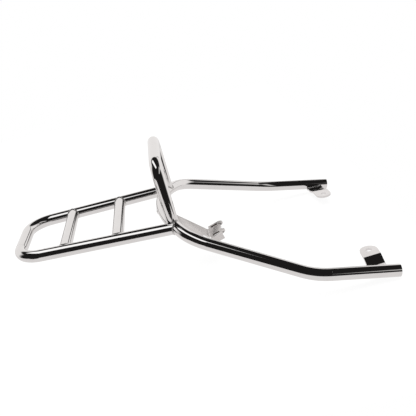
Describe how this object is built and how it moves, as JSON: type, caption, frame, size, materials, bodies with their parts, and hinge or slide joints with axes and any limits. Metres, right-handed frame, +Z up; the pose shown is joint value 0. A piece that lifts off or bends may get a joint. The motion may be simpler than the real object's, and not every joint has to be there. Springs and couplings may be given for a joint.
{
  "type": "motorcycle luggage rack",
  "caption": "Welded chrome tube luggage rack for a motorcycle: a flat carrier loop with cross rungs, an upright hoop, two splayed arms with bolt tabs and a slotted centre strap.",
  "frame": {"origin": "midway between the two arm tab holes, halfway through the thickness of the tabs", "axes": "+X points forward along the arms to the motorcycle, +Z points up out of the luggage deck"},
  "size_m": [0.5337, 0.376, 0.221],
  "materials": {
    "chrome_tube": "bright chrome plate on polished steel tube",
    "plated_sheet": "chrome plate on pressed sheet, a little duller than the tube",
    "weld_bead": "chrome plate over rippled weld beads"
  },
  "bodies": {
    "root": {"carrier_loop": "chrome_tube", "rung_rear": "chrome_tube", "rung_front": "chrome_tube", "frame_tube": "chrome_tube", "upright_hoop": "chrome_tube", "centre_strap": "plated_sheet", "tab_left": "plated_sheet", "tab_right": "plated_sheet", "weld_rung_rear_left": "weld_bead", "weld_rung_rear_right": "weld_bead", "weld_rung_front_left": "weld_bead", "weld_rung_front_right": "weld_bead", "weld_rail_left": "weld_bead", "weld_rail_right": "weld_bead", "weld_hoop_left": "weld_bead", "weld_hoop_right": "weld_bead", "weld_tab_left": "weld_bead", "weld_tab_right": "weld_bead", "weld_strap_rear": "weld_bead", "weld_strap_front": "weld_bead"}
  },
  "joints": []
}
